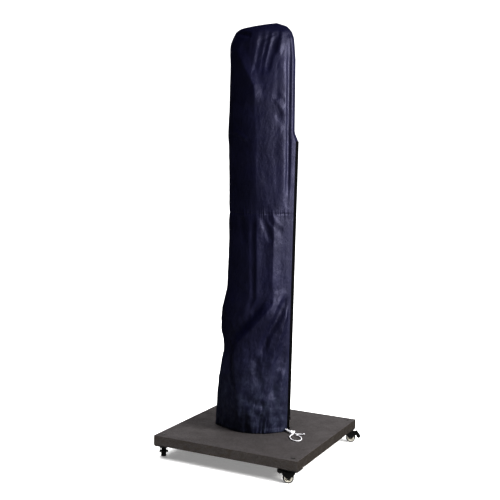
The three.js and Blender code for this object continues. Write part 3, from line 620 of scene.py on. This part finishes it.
# Folds on the front: height, width on the left and right, then points as (across, z). Metres.
FRONT_FOLDS = [
    # the edge where the front meets the sloping roof, and the short tuck that joins it
    (0.007, 0.030, 0.050, [
        (-0.204, 2.352), (-0.165, 2.382), (-0.095, 2.408), (-0.028, 2.442), (0.030, 2.464),
    ]),
    (-0.010, 0.014, 0.014, [(-0.160, 2.432), (-0.130, 2.424), (-0.085, 2.410)]),
    # gathers that run down from the peak
    (-0.0055, 0.020, 0.016, [(-0.014, 2.450), (-0.019, 2.436), (-0.053, 2.260), (-0.064, 2.190)]),
    (-0.0055, 0.020, 0.016, [(0.016, 2.458), (0.012, 2.437), (-0.024, 2.261), (-0.038, 2.180)]),
    (-0.006, 0.026, 0.022, [(0.056, 2.440), (0.053, 2.416), (0.019, 2.296), (0.000, 2.200)]),
    (0.006, 0.016, 0.018, [(0.090, 2.460), (0.084, 2.400), (0.064, 2.300)]),
    (0.012, 0.090, 0.050, [
        (-0.190, 2.390), (-0.157, 2.313), (-0.112, 2.222), (-0.067, 2.132), (-0.058, 2.020),
    ]),
    (0.009, 0.110, 0.130, [
        (-0.072, 2.180), (-0.058, 1.980), (-0.048, 1.800), (-0.044, 1.560), (-0.044, 1.430),
    ]),
    # the lit band and the upright pleat beside the zip
    (0.005, 0.040, 0.026, [(0.100, 2.440), (0.104, 2.200), (0.110, 1.940), (0.112, 1.600), (0.108, 1.440)]),
    (-0.008, 0.016, 0.013, [(0.128, 2.420), (0.130, 2.300), (0.134, 2.000), (0.138, 1.700), (0.134, 1.440)]),
    # small drags beside the upright pleat
    (-0.003, 0.022, 0.026, [(0.048, 2.100), (0.090, 2.050), (0.116, 2.000)]),
    (0.003, 0.022, 0.022, [(0.060, 2.068), (0.096, 2.018), (0.118, 1.966)]),
    (-0.003, 0.022, 0.026, [(0.060, 1.990), (0.096, 1.930), (0.118, 1.880)]),
    (0.004, 0.014, 0.014, [(-0.190, 1.890), (-0.140, 1.858), (-0.095, 1.826)]),
    # tucks under the cross seam
    (-0.004, 0.020, 0.024, [(0.020, 1.408), (0.050, 1.368), (0.088, 1.328), (0.108, 1.290)]),
    (0.003, 0.020, 0.022, [(0.036, 1.404), (0.068, 1.362), (0.102, 1.326)]),
    (-0.004, 0.020, 0.022, [(-0.010, 1.404), (0.010, 1.350), (0.030, 1.300), (0.050, 1.240)]),
    (-0.006, 0.018, 0.020, [(-0.130, 1.404), (-0.116, 1.330), (-0.102, 1.240)]),
    # two upright edges that part the front into a dark, a middle and a lit face
    (-0.006, 0.020, 0.012, [
        (-0.056, 1.425), (-0.054, 1.240), (-0.050, 1.060), (-0.048, 0.930), (-0.090, 0.840),
    ]),
    (0.013, 0.110, 0.090, [
        (-0.036, 1.440), (-0.034, 1.240), (-0.032, 1.060), (-0.032, 0.960), (-0.060, 0.860),
    ]),
    (0.011, 0.060, 0.050, [(0.060, 1.440), (0.060, 1.200), (0.058, 1.040), (0.060, 0.930)]),
    # the big slanting fold, lit on its right and falling away on its left, down to the hem
    (0.031, 0.062, 0.230, [
        (0.068, 0.985), (0.063, 0.894), (0.020, 0.837), (-0.029, 0.781), (-0.083, 0.718),
        (-0.126, 0.666), (-0.145, 0.592), (-0.133, 0.445), (-0.114, 0.326), (-0.110, 0.200), (-0.110, 0.100),
    ]),
    (-0.013, 0.050, 0.026, [
        (0.020, 0.935), (-0.030, 0.850), (-0.090, 0.770), (-0.150, 0.700), (-0.190, 0.590), (-0.180, 0.470),
    ]),
    (-0.016, 0.030, 0.030, [
        (0.160, 0.950), (0.119, 0.867), (0.087, 0.805), (0.045, 0.726), (0.020, 0.655), (0.010, 0.590),
    ]),
    (0.009, 0.030, 0.030, [(0.165, 0.880), (0.126, 0.780), (0.100, 0.680), (0.064, 0.560), (0.052, 0.480)]),
    # a faint lit fold on the far left, and the slack under it
    (0.004, 0.020, 0.028, [(-0.216, 0.870), (-0.206, 0.839), (-0.156, 0.744), (-0.131, 0.657)]),
    (-0.005, 0.030, 0.030, [(-0.226, 0.700), (-0.190, 0.600), (-0.176, 0.470), (-0.170, 0.360)]),
    # crumples low on the right
    (-0.009, 0.030, 0.034, [(0.150, 0.640), (0.112, 0.550), (0.084, 0.450), (0.070, 0.330)]),
    (0.007, 0.028, 0.028, [(0.140, 0.520), (0.124, 0.420), (0.122, 0.290)]),
    (-0.007, 0.024, 0.030, [(-0.030, 0.600), (-0.024, 0.500), (0.000, 0.400)]),
    (-0.005, 0.026, 0.030, [(-0.104, 0.350), (-0.050, 0.320), (0.020, 0.300), (0.080, 0.310)]),
    (0.007, 0.024, 0.030, [(-0.070, 0.290), (-0.046, 0.230), (-0.040, 0.150)]),
    (0.007, 0.026, 0.026, [(0.030, 0.350), (0.060, 0.270), (0.060, 0.170)]),
    (-0.006, 0.020, 0.022, [(0.086, 0.260), (0.106, 0.200), (0.110, 0.130)]),
    (-0.006, 0.020, 0.022, [(-0.006, 0.260), (0.010, 0.200), (0.010, 0.130)]),
]


def smoothed(values, sigma, axis, wrap):
    """A Gaussian blur of a grid of points along one direction."""
    reach = int(3 * sigma) + 1
    kernel = np.exp(-0.5 * (np.arange(-reach, reach + 1) / sigma) ** 2)
    kernel /= kernel.sum()
    pad = [(0, 0)] * values.ndim
    pad[axis] = (reach, reach)
    mode = {"mode": "wrap"} if wrap else {"mode": "reflect", "reflect_type": "odd"}
    wide = np.pad(values, pad, **mode)
    size = values.shape[axis]
    return sum(k * np.take(wide, range(i, i + size), axis) for i, k in enumerate(kernel))


def step(x, low, high):
    t = np.clip((x - low) / (high - low), 0, 1)
    return t * t * (3 - 2 * t)


def fold(x, z, height, left, right, route):
    """A soft crease along a line of points, with its own width on each side, fading at both ends."""
    best = np.full(x.shape, 1e9)
    side = np.zeros_like(x)
    along = np.zeros_like(x)
    lengths = [math.dist(a, b) for a, b in zip(route, route[1:])]
    run = 0.0
    for (a, b), long in zip(zip(route, route[1:]), lengths):
        ux, uz = (b[0] - a[0]) / long, (b[1] - a[1]) / long
        t = np.clip((x - a[0]) * ux + (z - a[1]) * uz, 0, long)
        dx, dz = x - a[0] - ux * t, z - a[1] - uz * t
        far = np.hypot(dx, dz)
        nearer = far < best
        best = np.where(nearer, far, best)
        side = np.where(nearer, ux * dz - uz * dx, side)
        along = np.where(nearer, (run + t) / sum(lengths), along)
        run += long
    width = np.where(side > 0, right, left) if route[0][1] > route[-1][1] else np.where(side > 0, left, right)
    crease = EDGE_R if height > EDGE_HEIGHT else CREASE_R
    soft = np.sqrt(best**2 + crease**2) - crease
    fade = step(along, -0.02, 0.2) * step(1 - along, -0.02, 0.2)
    near = np.clip(1 - soft / width, 0, 1)
    shape = near**1.6 if height > EDGE_HEIGHT else step(near, 0, 1.15) / step(1.0, 0, 1.15)
    return height * fade * shape


def wandering(u, z, scale_u, scale_z, seed, octaves=3):
    """Noise over the cloth, in the cloth's own metres, as an array."""
    flat = [
        noise.fractal(Vector((a * scale_u, b * scale_z, seed)), 0.6, 2.1, octaves)
        for a, b in zip(u.ravel(), z.ravel())
    ]
    return np.array(flat).reshape(u.shape)


def cover_surface():
    """The outside of the cover's CAD solid as a grid of points, then softened away from the zip."""
    mesh = node["cover"].data
    tree = BVHTree.FromPolygons([v.co for v in mesh.vertices], [p.vertices for p in mesh.polygons])
    heights = np.linspace(HEM, CAP_START, GRID_UP)
    rises = np.linspace(0, math.pi / 2, CAP_ROWS)[1:]
    rows = [(z, 0.0) for z in heights] + [(CAP_START, e) for e in rises]
    points = np.zeros((len(rows), GRID_AROUND, 3))
    for j, (z, rise) in enumerate(rows):
        core = at(*AXIS, min(max(z, HEM + 0.0002), CAP_START))
        for i in range(GRID_AROUND):
            a = GRID_START + 2 * math.pi * i / GRID_AROUND
            out = ACROSS * math.cos(a) + BACK * math.sin(a)
            out = out * math.cos(rise) + UP * math.sin(rise)
            hit = tree.ray_cast(core + out, -out)[0]
            points[j, i] = hit
    soft = smoothed(smoothed(points, 3.0, 1, True), 5.0, 0, False)
    crisp = smoothed(smoothed(points, 1.5, 1, True), 1.0, 0, False)
    high = step(points[..., 2:], CRISP_FROM, CRISP_FROM + 0.06)
    soft = soft * (1 - high) + crisp * high
    soft[:, :, 2] = np.where(np.arange(len(rows))[:, None] < GRID_UP, points[:, :, 2], soft[:, :, 2])
    across = points @ np.array(ACROSS)
    back = points @ np.array(BACK)
    from_zip = np.hypot(across - ZIP_ACROSS, back - ZIP_BACK)
    stiff = 1 - step(from_zip, 0.022, 0.05)
    return points * stiff[..., None] + soft * (1 - stiff[..., None]), stiff


def random_folds(count, seed):
    """Loose folds for the sides and back, in the cloth's own metres: (round, z) lines."""
    pick = random.Random(seed)
    made = []
    for _ in range(count):
        u, z = pick.uniform(0.08, 0.72), pick.uniform(0.25, 2.25)
        long, slant = pick.uniform(0.14, 0.42), pick.uniform(-0.55, 0.55)
        bend = pick.uniform(-0.04, 0.04)
        route = [(u, z), (u + slant * long * 0.5 + bend, z - long * 0.5), (u + slant * long, z - long)]
        width = pick.uniform(0.02, 0.045)
        made.append((pick.choice((-1, 1)) * pick.uniform(0.004, 0.009), width, width * 1.3, route))
    return made


def cover(paints):
    points, stiff = cover_surface()
    rows, columns = points.shape[:2]
    ring = np.linalg.norm(np.roll(points, -1, 1) - points, axis=2)
    around = np.concatenate([np.zeros((rows, 1)), np.cumsum(ring, 1)], 1)
    climb = np.linalg.norm(np.diff(points, axis=0), axis=2).mean(1)
    up = np.concatenate([[0], np.cumsum(climb)])

    du = np.roll(points, -1, 1) - np.roll(points, 1, 1)
    dv = np.gradient(points, axis=0)
    out = np.cross(du, dv)
    out /= np.linalg.norm(out, axis=2, keepdims=True) + 1e-12

    x, z = points @ np.array(ACROSS), points[..., 2]
    u = around[:, :-1]
    front = step(-(out @ np.array(BACK)), -0.15, 0.25)
    behind = 1 - front
    push = np.zeros_like(x)
    for height, left, right, route in FRONT_FOLDS:
        push += front * fold(x, z, height, left, right, route)
    for height, left, right, route in random_folds(LOOSE_FOLDS, LOOSE_SEED):
        push += behind * fold(u, z, height, left, right, route)

    slack = 0.35 + 0.65 * (1 - step(z, 0.5, 1.3))
    push += WAVE * slack * wandering(u, z, 9, 2.4, 3.1)
    push += CRUMPLE * slack * wandering(u, z, 26, 15, 8.7, 4)
    push += LOOSE_WAVE * behind * wandering(u, z, 16, 0.9, 5.5)

    puckers = np.abs(wandering(u, z * 0 + 1, 60, 1, 2.2, 2))
    near_seam = np.exp(-np.abs(z - SEAM_Z) / PUCKER_REACH)
    push += near_seam * (PUCKER * puckers - 0.001) * (z < CAP_START)
    push -= SEAM_GROOVE * np.exp(-((z - SEAM_Z) / SEAM_GROOVE) ** 2)
    from_start, from_end = u - SEAM_IN, around[:, -1:] - u - SEAM_IN
    beside = np.exp(-(from_start / SIDE_SEAM_WIDTH) ** 2) + np.exp(-(from_end / SIDE_SEAM_WIDTH) ** 2)
    push -= SIDE_SEAM_GROOVE * beside
    hem = z - HEM
    push += HEM_ROLL * step(-np.abs(hem - 0.013), -0.015, -0.007) * (hem < 0.05)
    push -= HEM_GROOVE * np.exp(-((hem - HEM_BAND) / 0.002) ** 2)
    gathers = wandering(u, z * 0 + 2, 75, 1, 9.4, 2)
    push += GATHER * gathers * np.exp(-hem / GATHER_REACH)

    cap_fade = np.ones(rows)
    cap_fade[GRID_UP:] = np.linspace(1, 0.15, rows - GRID_UP)
    push *= (1 - stiff) * cap_fade[:, None]
    points = points + out * np.clip(push, PUSH_IN, PUSH_OUT)[..., None]
    reach_down = HEM - SLAB_TOP - HEM_ABOVE_SLAB
    points[..., 2] -= reach_down * (1 - step(points[..., 2], HEM, HEM + 0.06))

    pole = points[-1].mean(0)
    flat = [*points[:-1].reshape(-1, 3), pole]
    faces, corners = grid_faces(rows - 1, columns, True)
    uv = [(around[j, i], up[j]) for face in corners for j, i in face]
    last = (rows - 2) * columns
    for i in range(columns):
        faces.append((last + i, last + (i + 1) % columns, len(flat) - 1))
        uv += [(around[-2, i], up[-2]), (around[-2, i + 1], up[-2]), (around[-2, i], up[-1])]
    piece = mesh_object("cover_cloth", flat, faces, paints["cover_cloth"], uv)
    shell = piece.modifiers.new("thickness", "SOLIDIFY")
    shell.thickness = CLOTH_THICK
    shell.offset = -1
    belongs(piece, "cover", "cover_cloth", "cover")


# ------------------------------------------------------------------ folded canopy
RIB_LENGTH = 1.5
RIBS = 8
SHEET_START = 0.06  # how far down the ribs the sheet begins
FOLD_GAP = 0.0009
WRAP_START = 0.030
WRAP_GROWTH = 0.022


def canopy(paints):
    """One eight-sided sheet, folded between its ribs, each fold wrapped round the pole."""
    low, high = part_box("canopy")
    centre = Vector(((low.x + high.x) / 2, (low.y + high.y) / 2, 0))
    hub = high.z - 0.002
    sector = 2 * math.pi / RIBS
    arc = lambda a: WRAP_START * a + WRAP_GROWTH * a * a / (4 * math.pi)
    rows, steps = 90, 34
    points, runs = [], []
    for j in range(rows):
        x = SHEET_START + (RIB_LENGTH - SHEET_START) * j / (rows - 1)
        wide = 2 * x * math.sin(sector / 2)
        a = sector
        while arc(a) + arc(a - sector) < wide:
            a += 0.01
        line = []
        for k in range(RIBS):
            outward = [(k * sector + a * t, a * t, FOLD_GAP) for t in np.linspace(0, 1, steps)]
            less = a - sector
            home = [((k + 1) * sector + less * t, less * t, 0.0) for t in np.linspace(1, 0, steps)]
            line += outward[:-1] + home[:-1]
        swell = 1 + 0.05 * math.sin(9 * x) * math.sin(4 * x)
        for turn, advance, proud in line:
            r = (WRAP_START + WRAP_GROWTH * advance / (2 * math.pi) + proud) * (0.82 + 0.18 * min(1, x / 0.5))
            r *= 1 + 0.02 * noise.noise(Vector((3 * math.cos(turn), 3 * math.sin(turn), x * 9)))
            drop = x - 0.035 * (advance / 12) * step(np.array(x), 1.2, 1.5)
            out = Vector((math.cos(turn), math.sin(turn), 0))
            points.append(centre + out * r * (swell if advance > 5 else 1) + UP * (hub - drop))
        runs.append(np.linspace(0, RIBS * wide, len(line) + 1))
    columns = len(points) // rows
    faces, corners = grid_faces(rows, columns, True)
    uv = [(runs[j][i], RIB_LENGTH * j / rows) for face in corners for j, i in face]
    piece = mesh_object("canopy_cloth", points, faces, paints["canopy_cloth"], uv)
    belongs(piece, "umbrella", "canopy_cloth", "canopy")


camera()
studio()
finishes = finish_cad_nodes()
drawcord(finishes)
cover(finishes)
canopy(finishes)
